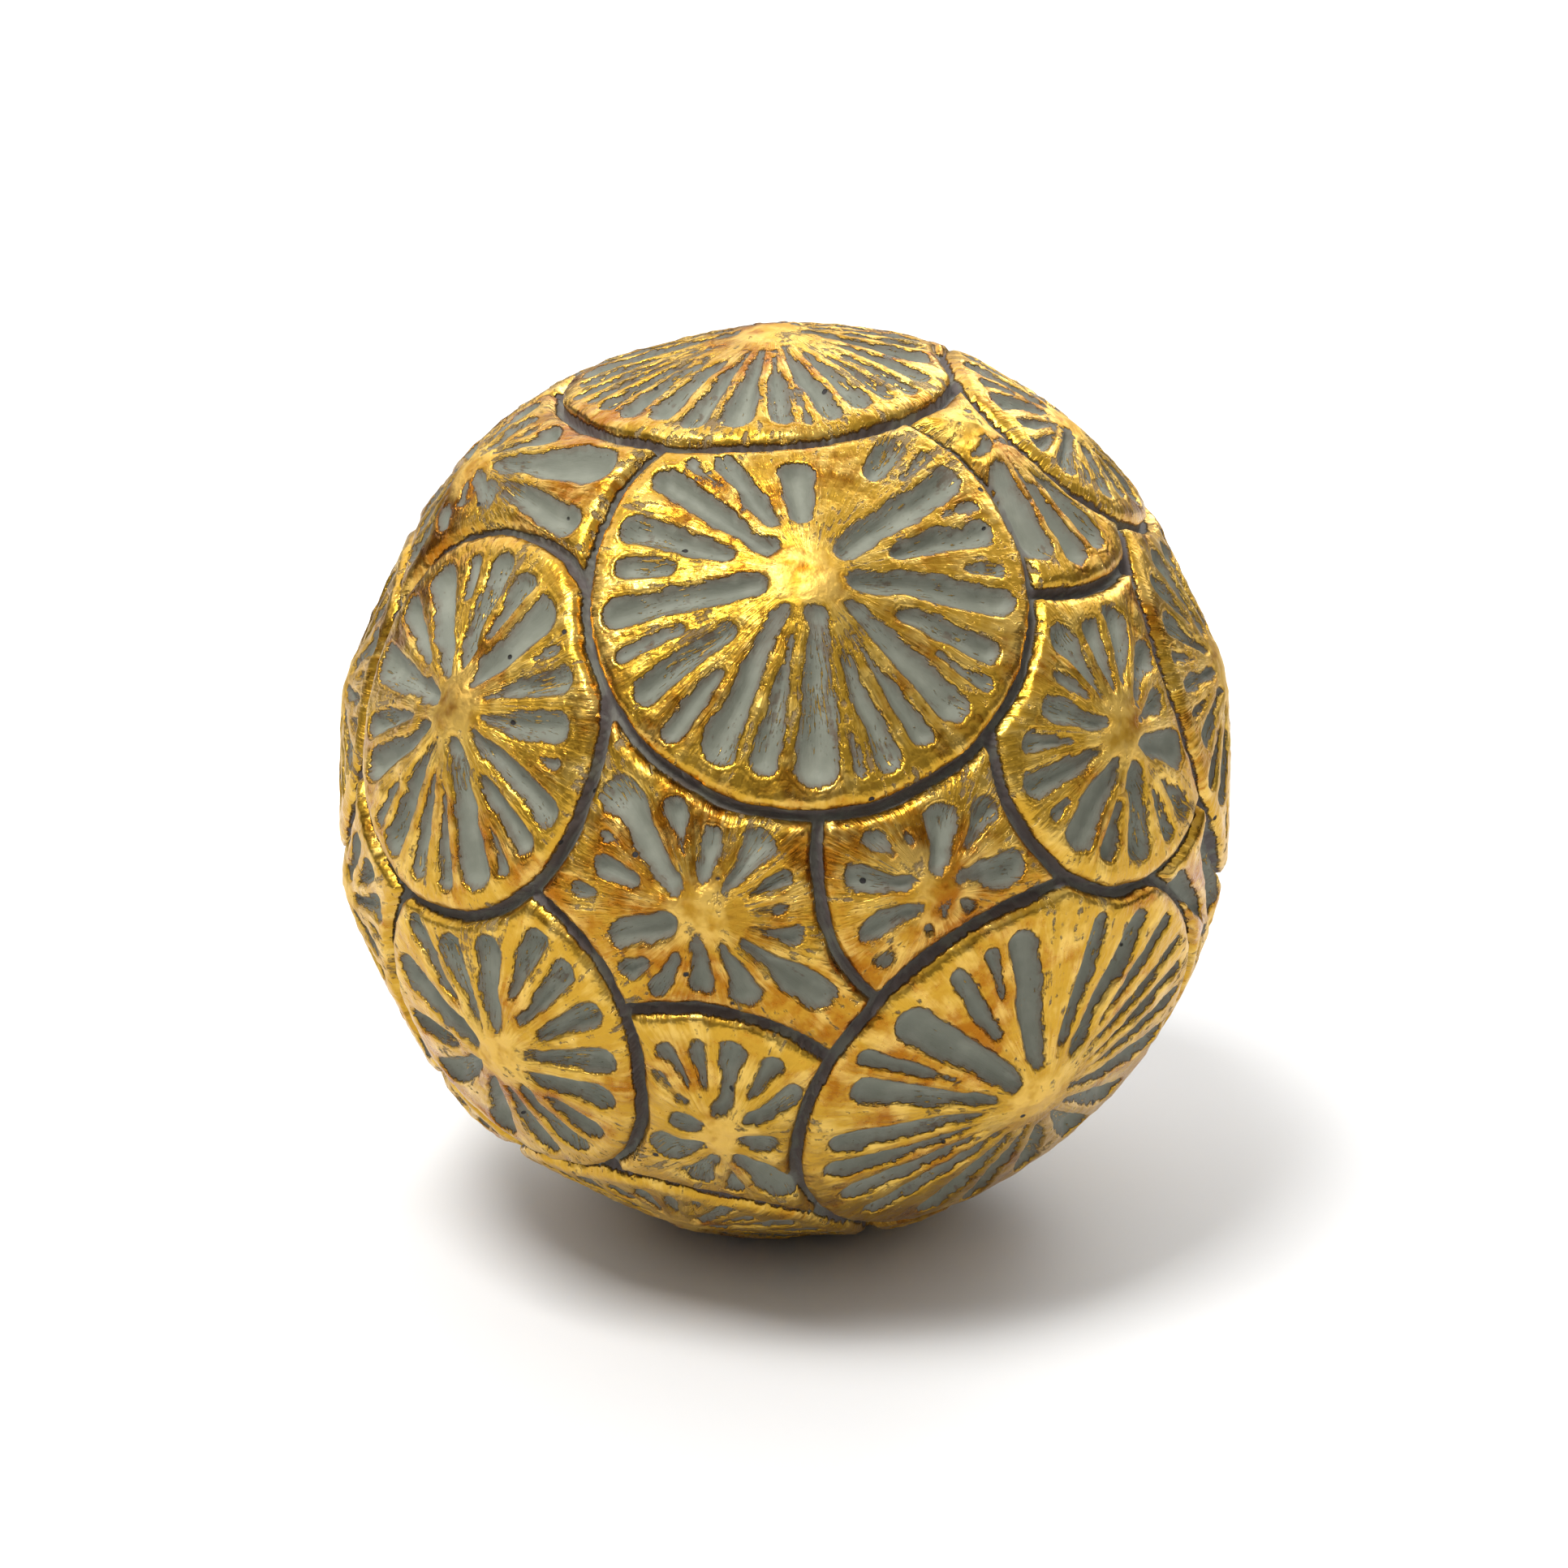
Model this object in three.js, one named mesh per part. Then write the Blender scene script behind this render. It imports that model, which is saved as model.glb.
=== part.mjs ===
// A cast ornamental ball, moulded all over with overlapping shells.
// Each shell is a low cone with a blunt boss, scooped flutes running out from it,
// a plain lip, and a sunk channel between it and its neighbours.
// Units are millimetres, +Z is up, and the origin is the centre of the flat underside.

import * as THREE from "three";

// Driving dimensions
const LIP_RADIUS = 49.6; // from the ball's centre to the lips of the shells
const TALLNESS = 1.015; // height of the ball over its width
const RISE = 0.1; // how far a boss stands above its lip, over the shell's own radius
const FULLNESS = 0.3; // 0 makes a shell's flank straight, 1 makes it follow the ball
const BROW = 0.45; // how far the flanks stand above the lips at the ends of the flutes
const CHANNEL_WIDTH = 2.4;
const CHANNEL_DEPTH = 1.5; // below the lips
const LIP_WIDTH = 1.6; // plain band between the ends of the flutes and the channel
const FLUTE_DEPTH = 1.3; // at the outer end of the widest flutes
const BARE_WIDTH = 4.0; // a gap between flutes as wide as this is left flat
const FOOT_RADIUS = 9.0; // of the flat spot that the ball stands on
const BORDER_STEP = 3.2; // spacing of the points along a channel

const DEGREE = Math.PI / 180;
const TURN = 2 * Math.PI;

// Kinds of flute: half its width, where it starts between the boss (0) and the lip (1),
// and its depth over FLUTE_DEPTH
const FLUTES = {
  W: { half: 2.45, start: 0.13, depth: 1.0 },
  L: { half: 1.95, start: 0.17, depth: 0.95 },
  l: { half: 1.35, start: 0.22, depth: 0.75 },
  M: { half: 1.7, start: 0.36, depth: 0.9 },
  m: { half: 1.25, start: 0.4, depth: 0.7 },
  S: { half: 1.5, start: 0.56, depth: 0.8 },
  s: { half: 0.95, start: 0.62, depth: 0.6 },
};

// Flutes of the given kinds all around, spaced by their widths from a first bearing
function ring(first, kinds) {
  const widths = [...kinds].map((kind) => FLUTES[kind].half + 0.5);
  const scale = 360 / widths.reduce((sum, width) => sum + width, 0);
  let bearing = first - (widths[0] / 2) * scale;
  return [...kinds].map((kind, i) => {
    bearing += widths[i] * scale;
    return `${kind}${(bearing - (widths[i] / 2) * scale + 360) % 360}`;
  });
}

const EVEN = "LMLMLmLMLsLMLMLmLML";
const MIXED = "LLMLsLMWlLMLsLLMLM";
const LOOSE = "WMLLsLMWLmLMLMlM";

// The shells, the uppermost first: each lies over every one that follows it.
// Each row holds the name, the centre of the outline, its radius, the boss, and the
// flutes, each a kind and its bearing clockwise from the top. Angles are in degrees,
// and places are [longitude, latitude] with longitude 0 at the front. oval is [added to
// the radius, bearing of the long axis], and rise is the boss's height over the usual one.
const SHELLS = [
  ["shoulder", [90, 54], 17.5, [80, 53.5], ring(10, "LmLMLmLLMLmLMLLm"), { oval: [1.2, 80] }],
  [
    "crown", [-44, 85], 25.4, [-20, 85.5],
    "l105 l115 L125 L139 s148 l157 L172 L187 L200 L212 M223 l232 l240 l249 L262 M278 L293 " +
    "L310 M326 L341 L357 M12 L27 L43 M58 L74 l90",
  ],
  [
    "front", [4.5, 41.8], 27.4, [3.5, 41],
    "M358 S29 s39 L49 s60 M68 s80 L91 M109 s117 L130 l144 M156 s166 W178 L194 L210 S226 M240 " +
    "s254 L266 S281 M295 L315 s324 M332",
    { oval: [0.4, 30] },
  ],
  [
    "left", [-47, 20.5], 22.9, [-45, 21.5],
    "M10 W28 s49 L63 L85 s99 L117 M134 s146 W161 l178 l192 L209 s222 L239 M256 W279 M299 L319 " +
    "s337 L352",
    { oval: [0.7, -20] },
  ],
  ["foot", [0, -90], 21, [0, -90], ring(0, "MMMMMMMMMMMMMMMMMM")],
  ["right_edge", [88, 17], 27.1, [76, 19], ring(15, EVEN), { oval: [1.5, -25] }],
  ["back_upper", [-172, 50], 23, [-172, 50], ring(0, MIXED)],
  [
    "wedge", [53.5, 58.8], 23, [49, 59],
    "L300 M330 L0 L25 M50 L72 L92 M112 L130 L144 L158 L173 L190 L206 M235 L265",
  ],
  [
    "right", [48.8, 21.3], 21.1, [46, 18.5],
    "L4 L22 L50 L72 W112 m137 m150 L175 M198 W223 s242 L260 M278 W297 M320 L342",
    { oval: [0.8, 35] },
  ],
  [
    "low_right", [36, -27], 30.2, [34, -24],
    "l17 L37 m51 l64 l76 l88 L102 L120 L137 L152 L168 L186 L205 L222 L238 L252 L275 m287 W303 " +
    "m321 s334 L347",
  ],
  [
    "low_left", [-39.5, -18.5], 21.5, [-38.5, -19.5],
    "L5 M26 M42 M61 L84 L108 M137 L158 L180 L205 L235 M262 W290 M318 L338",
    { oval: [1.5, 15] },
  ],
  ["back_left", [-146, 14], 26, [-146, 14], ring(5, LOOSE)],
  ["under_front", [-29, -63], 24, [-22, -54], ring(8, EVEN), { rise: 0.45 }],
  [
    "chin", [-11.4, -30.4], 21.4, [-8, -26.5],
    "L8 M31 L53 s80 L118 W153 m178 L203 W240 W280 m320 M334 M350",
  ],
  [
    "nook", [27, 8.3], 23, [17, 5.5],
    "W12 M41 s62 W80 W115 W150 M185 M215 W237 s260 W285 M310 M340",
  ],
  ["left_shoulder", [-131, 55], 21, [-126, 52], ring(0, MIXED)],
  ["back_low_right", [142, -28], 25, [142, -28], ring(12, MIXED)],
  ["left_edge", [-90, 14], 22, [-84, 15], ring(3, EVEN)],
  [
    "upper_left", [-66, 49], 30, [-70, 48],
    "L32 W58 M84 L110 M130 L150 L172 L195 L216 M238 L258 L280 M300 L322 L345 M8",
  ],
  ["back_middle", [165, 10], 29, [165, 10], ring(0, EVEN)],
  ["low_back_left", [-118, -46], 24, [-118, -48], ring(7, LOOSE)],
  ["back_right", [122, 4], 28, [125, 6], ring(4, LOOSE)],
  ["back_upper_right", [131, 45], 29, [132, 42], ring(9, EVEN)],
  ["right_low_edge", [77, -9], 29, [80, -16], ring(0, MIXED), { rise: 0.2 }],
  ["back_low", [-170, -28], 29, [-175, -30], ring(6, LOOSE)],
  ["left_low_edge", [-76, -11], 25, [-74, -9], ring(2, EVEN), { rise: 0.5 }],
  ["far_left", [-118, -8], 30, [-116, -12], ring(11, MIXED)],
  ["under_back", [-178, -64], 28, [-178, -60], ring(5, EVEN)],
  ["low_back_right", [95, -46], 31, [96, -48], ring(0, MIXED)],
  ["under_left", [-73, -46], 28, [-74, -44], ring(6, LOOSE), { rise: 0.6 }],
  ["under_right", [24, -60], 26, [36, -63], ring(3, "LMLsLMLM"), { rise: 0.4 }],
  ["left_back_gap", [-114, 32], 20, [-115, 33], ring(0, "LMLsLMLM")],
  [
    "middle", [-9.5, 5], 28, [-9, 3.5],
    "W5 W37 M65 M87 M105 L128 L153 L182 m208 S230 L250 s275 m290 s304 W319 M340",
  ],
];

// Broad swellings and hollows that leave the cast a little out of round
const SWELLS = [
  { toward: [108, 60], reach: 44, height: 1.5 },
  { toward: [-100, 52], reach: 50, height: 0.8 },
  { toward: [-90, 18], reach: 34, height: -1.1 },
];

// Directions from the ball's centre

function direction([longitude, latitude]) {
  const around = longitude * DEGREE;
  const up = latitude * DEGREE;
  const level = Math.cos(up);
  return new THREE.Vector3(level * Math.sin(around), -level * Math.cos(around), Math.sin(up));
}

function swellAt(point) {
  return SWELLS.reduce((sum, swell) => {
    const away = Math.min(1, direction(swell.toward).angleTo(point) / (swell.reach * DEGREE));
    return sum + swell.height * (1 - away * away) ** 2;
  }, 0);
}

// The two level directions at a point of the ball: east, where longitude rises, and north
function compassAt(point) {
  const atPole = Math.hypot(point.x, point.y) < 1e-6;
  const east = atPole ? new THREE.Vector3(1, 0, 0) : new THREE.Vector3(-point.y, point.x, 0).normalize();
  return { east, north: new THREE.Vector3().crossVectors(point, east) };
}

function bearingOf(origin, compass, point) {
  const bearing = Math.atan2(point.dot(compass.east), point.dot(compass.north));
  return bearing < 0 ? bearing + TURN : bearing;
}

// The direction reached by going an angle away from an origin along a bearing
function step(origin, compass, bearing, angle) {
  return origin
    .clone()
    .multiplyScalar(Math.cos(angle))
    .addScaledVector(compass.north, Math.sin(angle) * Math.cos(bearing))
    .addScaledVector(compass.east, Math.sin(angle) * Math.sin(bearing));
}

// Halves a bracket until it is tight: test is false at low and true at high
function bisect(low, high, test) {
  let [outside, inside] = [low, high];
  for (let i = 0; i < 40; i += 1) {
    const middle = (outside + inside) / 2;
    if (test(middle)) inside = middle;
    else outside = middle;
  }
  return (outside + inside) / 2;
}

// Outlines of the shells

// Reads flutes such as "M358 S29", and puts them in order clockwise from the top
function flutesFrom(carved) {
  const words = Array.isArray(carved) ? carved : carved.split(" ");
  const flutes = words.map((word) => ({ ...FLUTES[word[0]], bearing: Number(word.slice(1)) * DEGREE }));
  return flutes.sort((a, b) => a.bearing - b.bearing);
}

const shells = SHELLS.map(([name, middle, radius, boss, carved, special], order) => {
  const { oval = [0, 0], rise = 1 } = special ?? {};
  const centre = direction(middle);
  const apex = direction(boss);
  return {
    name,
    order,
    centre,
    apex,
    flutes: flutesFrom(carved),
    centreCompass: compassAt(centre),
    apexCompass: compassAt(apex),
    radius: radius * DEGREE,
    ovalBy: oval[0] * DEGREE,
    ovalBearing: oval[1] * DEGREE,
    bossRadius: LIP_RADIUS * (1 + rise * RISE * radius * DEGREE),
  };
});

function outlineRadius(shell, bearing) {
  return shell.radius + shell.ovalBy * Math.cos(2 * (bearing - shell.ovalBearing));
}

// How far a direction lies inside a shell's outline, as an angle, negative outside it
function depthInside(shell, point) {
  const bearing = bearingOf(shell.centre, shell.centreCompass, point);
  return outlineRadius(shell, bearing) - shell.centre.angleTo(point);
}

function outlinePoint(shell, bearing) {
  return step(shell.centre, shell.centreCompass, bearing, outlineRadius(shell, bearing));
}

function coverOf(shell, point) {
  return shells.find((other) => other.order < shell.order && depthInside(other, point) > 0);
}

function ownerBeyond(shell, point) {
  const owner = shells.find((other) => other !== shell && depthInside(other, point) > 0);
  if (!owner) throw new Error(`nothing lies beyond ${shell.name}`);
  return owner;
}

// The angle from a direction to the nearest channel around its shell
function marginOf(shell, point) {
  let margin = depthInside(shell, point);
  for (const other of shells) {
    if (other === shell) break;
    margin = Math.min(margin, -depthInside(other, point));
  }
  return margin;
}

// The network of channels between the shells

const vertices = [];
const triangles = [];

function addVertex(point, radius) {
  vertices.push(point.clone().setLength(radius + swellAt(point)));
  return vertices.length - 1;
}

function addTriangle(a, b, c) {
  if (a !== b && b !== c && c !== a) triangles.push(a, b, c);
}

// Where a shell's outline goes under a higher one, three shells meet
function findJunctions() {
  const onOutline = new Map(shells.map((shell) => [shell, []]));
  const walk = DEGREE / 2;
  for (const shell of shells) {
    for (let bearing = 0; bearing < TURN - walk / 2; bearing += walk) {
      const before = coverOf(shell, outlinePoint(shell, bearing));
      const after = coverOf(shell, outlinePoint(shell, bearing + walk));
      if (Boolean(before) === Boolean(after)) continue;
      const isCovered = (b) => Boolean(coverOf(shell, outlinePoint(shell, b)));
      const ends = before ? [bearing + walk, bearing] : [bearing, bearing + walk];
      const found = bisect(...ends, isCovered);
      const point = outlinePoint(shell, found);
      const vertex = addVertex(point, LIP_RADIUS - CHANNEL_DEPTH);
      const higher = before ?? after;
      onOutline.get(shell).push({ bearing: found, vertex });
      onOutline.get(higher).push({ bearing: bearingOf(higher.centre, higher.centreCompass, point), vertex });
    }
  }
  return onOutline;
}

// The stretch of a shell's outline from one junction to the next, with even points
function layArc(shell, from, to, borders) {
  const sweep = (to.bearing - from.bearing + TURN) % TURN || TURN;
  const middle = outlinePoint(shell, from.bearing + sweep / 2);
  if (coverOf(shell, middle)) return;
  const length = sweep * Math.sin(shell.radius) * LIP_RADIUS;
  const count = Math.max(1, Math.round(length / BORDER_STEP));
  const beyond = ownerBeyond(shell, middle);
  const chain = [from.vertex];
  for (let i = 1; i < count; i += 1) {
    const point = outlinePoint(shell, from.bearing + (sweep * i) / count);
    chain.push(addVertex(point, LIP_RADIUS - CHANNEL_DEPTH));
  }
  chain.push(to.vertex);
  for (let i = 1; i < chain.length; i += 1) {
    borders.get(shell).set(chain[i - 1], chain[i]);
    borders.get(beyond).set(chain[i], chain[i - 1]);
  }
}

// For every shell, which vertex follows which, clockwise, along the channel around it
function layChannels() {
  const borders = new Map(shells.map((shell) => [shell, new Map()]));
  for (const [shell, found] of findJunctions()) {
    if (found.length === 0) {
      const start = { bearing: 0, vertex: addVertex(outlinePoint(shell, 0), LIP_RADIUS - CHANNEL_DEPTH) };
      layArc(shell, start, start, borders);
      continue;
    }
    found.sort((a, b) => a.bearing - b.bearing);
    found.forEach((junction, i) => layArc(shell, junction, found[(i + 1) % found.length], borders));
  }
  return borders;
}

// One shell: a fan at the boss, then rings at the start and the end of the flutes and at
// the lip, then a strip down to the channel

// The angle from the apex to the lip along a bearing
function lipAngle(shell, bearing) {
  const channel = CHANNEL_WIDTH / 2 / LIP_RADIUS;
  const isPast = (angle) => marginOf(shell, step(shell.apex, shell.apexCompass, bearing, angle)) < channel;
  const stride = DEGREE / 2;
  let angle = stride;
  while (!isPast(angle)) angle += stride;
  return bisect(angle - stride, angle, isPast);
}

// Radius of the flank, without its flutes, at an angle from the apex
function flankRadius(shell, angle, lip) {
  const boss = shell.bossRadius;
  const outer = LIP_RADIUS + BROW;
  const straight = Math.sin(lip) / (Math.sin(lip - angle) / boss + Math.sin(angle) / outer);
  const round = boss + ((outer - boss) * angle) / lip;
  return straight + (round - straight) * FULLNESS;
}

// Flute floors, and the ridges or bare parts between them, clockwise
function columnsOf(shell) {
  const columns = [];
  shell.flutes.forEach((flute, i) => {
    const next = shell.flutes[(i + 1) % shell.flutes.length];
    const gap = (next.bearing - flute.bearing + TURN) % TURN;
    const reach = LIP_RADIUS * lipAngle(shell, flute.bearing + gap / 2);
    const from = flute.bearing + Math.min(flute.half / reach, gap / 3);
    const to = flute.bearing + gap - Math.min(next.half / reach, gap / 3);
    const start = (flute.start + next.start) / 2;
    const isBare = (to - from) * reach > BARE_WIDTH;
    const ridges = isBare ? [from, to] : [(from + to) / 2];
    columns.push(flute, ...ridges.map((bearing) => ({ bearing, start, depth: 0 })));
  });
  return columns;
}

// The angle from the bottom of the ball to the edge of its flat spot
const foot = shells.find((shell) => shell.name === "foot");
const footLip = lipAngle(foot, 0);
const isOffFoot = (angle) => flankRadius(foot, angle, footLip) * Math.sin(angle) > FOOT_RADIUS;
const footAngle = bisect(0, footLip, isOffFoot);
const FLAT_DROP = flankRadius(foot, footAngle, footLip) * Math.cos(footAngle);

function ringsOf(shell) {
  const rings = [[], [], []];
  for (const column of columnsOf(shell)) {
    const lip = lipAngle(shell, column.bearing);
    const end = Math.max(lip - LIP_WIDTH / LIP_RADIUS, lip * 0.7);
    const start = shell === foot ? footAngle : Math.min(column.start * lip, end * 0.85);
    const angles = [start, end, lip];
    angles.forEach((angle, i) => {
      const sunk = [0, column.depth * FLUTE_DEPTH, BROW][i];
      const point = step(shell.apex, shell.apexCompass, column.bearing, angle);
      rings[i].push(addVertex(point, flankRadius(shell, angle, lip) - sunk));
    });
  }
  return rings;
}

// A vertex on a map centred on a shell's boss, with north up
function onMap(shell, vertex) {
  const point = vertices[vertex].clone().normalize();
  const angle = shell.apex.angleTo(point);
  const bearing = bearingOf(shell.apex, shell.apexCompass, point);
  return new THREE.Vector2(angle * Math.sin(bearing), angle * Math.cos(bearing));
}

// Walks the channel around a shell, which must be one closed loop
function loopOf(shell, border) {
  const start = border.keys().next().value;
  const loop = [start];
  for (let at = border.get(start); at !== start; at = border.get(at)) loop.push(at);
  if (loop.length !== border.size) throw new Error(`${shell.name} lies in more than one place`);
  return loop;
}

// Fills the strip between the lip and the channel
function fillStrip(shell, channel, lip) {
  const contour = channel.map((vertex) => onMap(shell, vertex));
  const hole = lip.map((vertex) => onMap(shell, vertex));
  const all = [...channel, ...lip];
  const places = [...contour, ...hole];
  for (const [a, b, c] of THREE.ShapeUtils.triangulateShape(contour, [hole])) {
    const facesOut = THREE.ShapeUtils.area([places[a], places[b], places[c]]) > 0;
    if (facesOut) addTriangle(all[a], all[b], all[c]);
    else addTriangle(all[a], all[c], all[b]);
  }
}

function buildShell(shell, border) {
  const rings = ringsOf(shell);
  const lip = lipAngle(shell, 0);
  const apexRadius = shell === foot ? FLAT_DROP : flankRadius(shell, 0, lip);
  const boss = addVertex(shell.apex, apexRadius);
  const count = rings[0].length;
  for (let i = 0; i < count; i += 1) {
    const next = (i + 1) % count;
    addTriangle(boss, rings[0][next], rings[0][i]);
    for (let ring = 0; ring + 1 < rings.length; ring += 1) {
      const [a, b] = [rings[ring][i], rings[ring][next]];
      const [c, d] = [rings[ring + 1][i], rings[ring + 1][next]];
      addTriangle(a, b, d);
      addTriangle(a, d, c);
    }
  }
  fillStrip(shell, loopOf(shell, border), rings[2]);
}

function ballGeometry() {
  const borders = layChannels();
  for (const shell of shells) buildShell(shell, borders.get(shell));
  const positions = vertices.flatMap((v) => [v.x, v.y, (v.z + FLAT_DROP) * TALLNESS]);
  const geometry = new THREE.BufferGeometry();
  geometry.setAttribute("position", new THREE.Float32BufferAttribute(positions, 3));
  geometry.setIndex(triangles);
  geometry.computeVertexNormals();
  return geometry;
}

// Gilded plaster: gold leaf over a grey-green ground
const gilded = new THREE.MeshStandardMaterial({ color: 0xb98f38, roughness: 0.45, metalness: 0.6 });

const ball = new THREE.Mesh(ballGeometry(), gilded);
ball.name = "carved_ball";

const ornament = new THREE.Group();
ornament.add(ball);

export default ornament;
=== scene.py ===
"""A gilded ball of overlapping shells, standing on a pale studio floor."""

import math

import bmesh
import bpy
import numpy as np
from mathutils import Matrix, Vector, noise


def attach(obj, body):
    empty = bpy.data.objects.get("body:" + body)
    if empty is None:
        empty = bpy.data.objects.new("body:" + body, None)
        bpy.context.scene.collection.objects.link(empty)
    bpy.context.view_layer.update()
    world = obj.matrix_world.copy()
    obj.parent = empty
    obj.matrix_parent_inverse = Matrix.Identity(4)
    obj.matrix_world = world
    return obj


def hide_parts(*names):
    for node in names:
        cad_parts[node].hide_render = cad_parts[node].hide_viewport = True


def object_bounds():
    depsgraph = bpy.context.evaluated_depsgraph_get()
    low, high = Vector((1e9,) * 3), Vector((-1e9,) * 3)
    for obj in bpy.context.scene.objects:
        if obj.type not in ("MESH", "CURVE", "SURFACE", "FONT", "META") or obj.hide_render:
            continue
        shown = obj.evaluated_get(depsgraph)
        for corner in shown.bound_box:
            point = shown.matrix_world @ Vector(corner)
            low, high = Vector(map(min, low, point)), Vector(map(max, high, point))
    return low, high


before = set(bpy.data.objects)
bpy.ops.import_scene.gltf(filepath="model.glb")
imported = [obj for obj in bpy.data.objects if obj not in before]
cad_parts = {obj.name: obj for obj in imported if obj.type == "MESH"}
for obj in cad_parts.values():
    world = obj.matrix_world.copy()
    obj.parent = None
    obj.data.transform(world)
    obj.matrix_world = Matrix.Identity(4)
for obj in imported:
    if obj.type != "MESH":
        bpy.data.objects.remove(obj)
CAD_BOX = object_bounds()

bl_info = {
    "name": "Gilded shell ball",
    "version": (1, 0, 0),
    "blender": (4, 5, 0),
    "location": "3D View > Sidebar > Shell ball",
    "description": "Builds a gilded ball moulded with overlapping shells, and its studio",
    "category": "Object",
}

MM = 0.001
TURN = 2 * math.pi
BEARINGS = np.radians(np.arange(360.0))
LIP_ANGLES = np.radians(np.arange(0.5, 70, 0.5))  # from a boss, where its lip may be
FAR = 9.0  # more than any distance that is compared, in mm or in radians

# Kinds of flute: half its width in mm, where it starts between the boss (0) and the
# lip (1), and its depth over the deepest
FLUTES = {
    "W": (2.45, 0.13, 1.0),
    "L": (1.95, 0.17, 0.95),
    "l": (1.35, 0.22, 0.75),
    "M": (1.7, 0.36, 0.9),
    "m": (1.25, 0.4, 0.7),
    "S": (1.5, 0.56, 0.8),
    "s": (0.95, 0.62, 0.6),
}


def ring(first, kinds):
    """Flutes of the given kinds, spaced by their widths from a first bearing in degrees."""
    widths = [FLUTES[kind][0] + 0.5 for kind in kinds]
    scale = 360 / sum(widths)
    middles = [sum(widths[:i]) + (widths[i] - widths[0]) / 2 for i in range(len(kinds))]
    return " ".join(f"{kind}{(first + scale * at) % 360:.1f}" for kind, at in zip(kinds, middles))


EVEN = "LMLMLmLMLsLMLMLmLML"
MIXED = "LLMLsLMWlLMLsLLMLM"
LOOSE = "WMLLsLMWLmLMLMlM"

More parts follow.
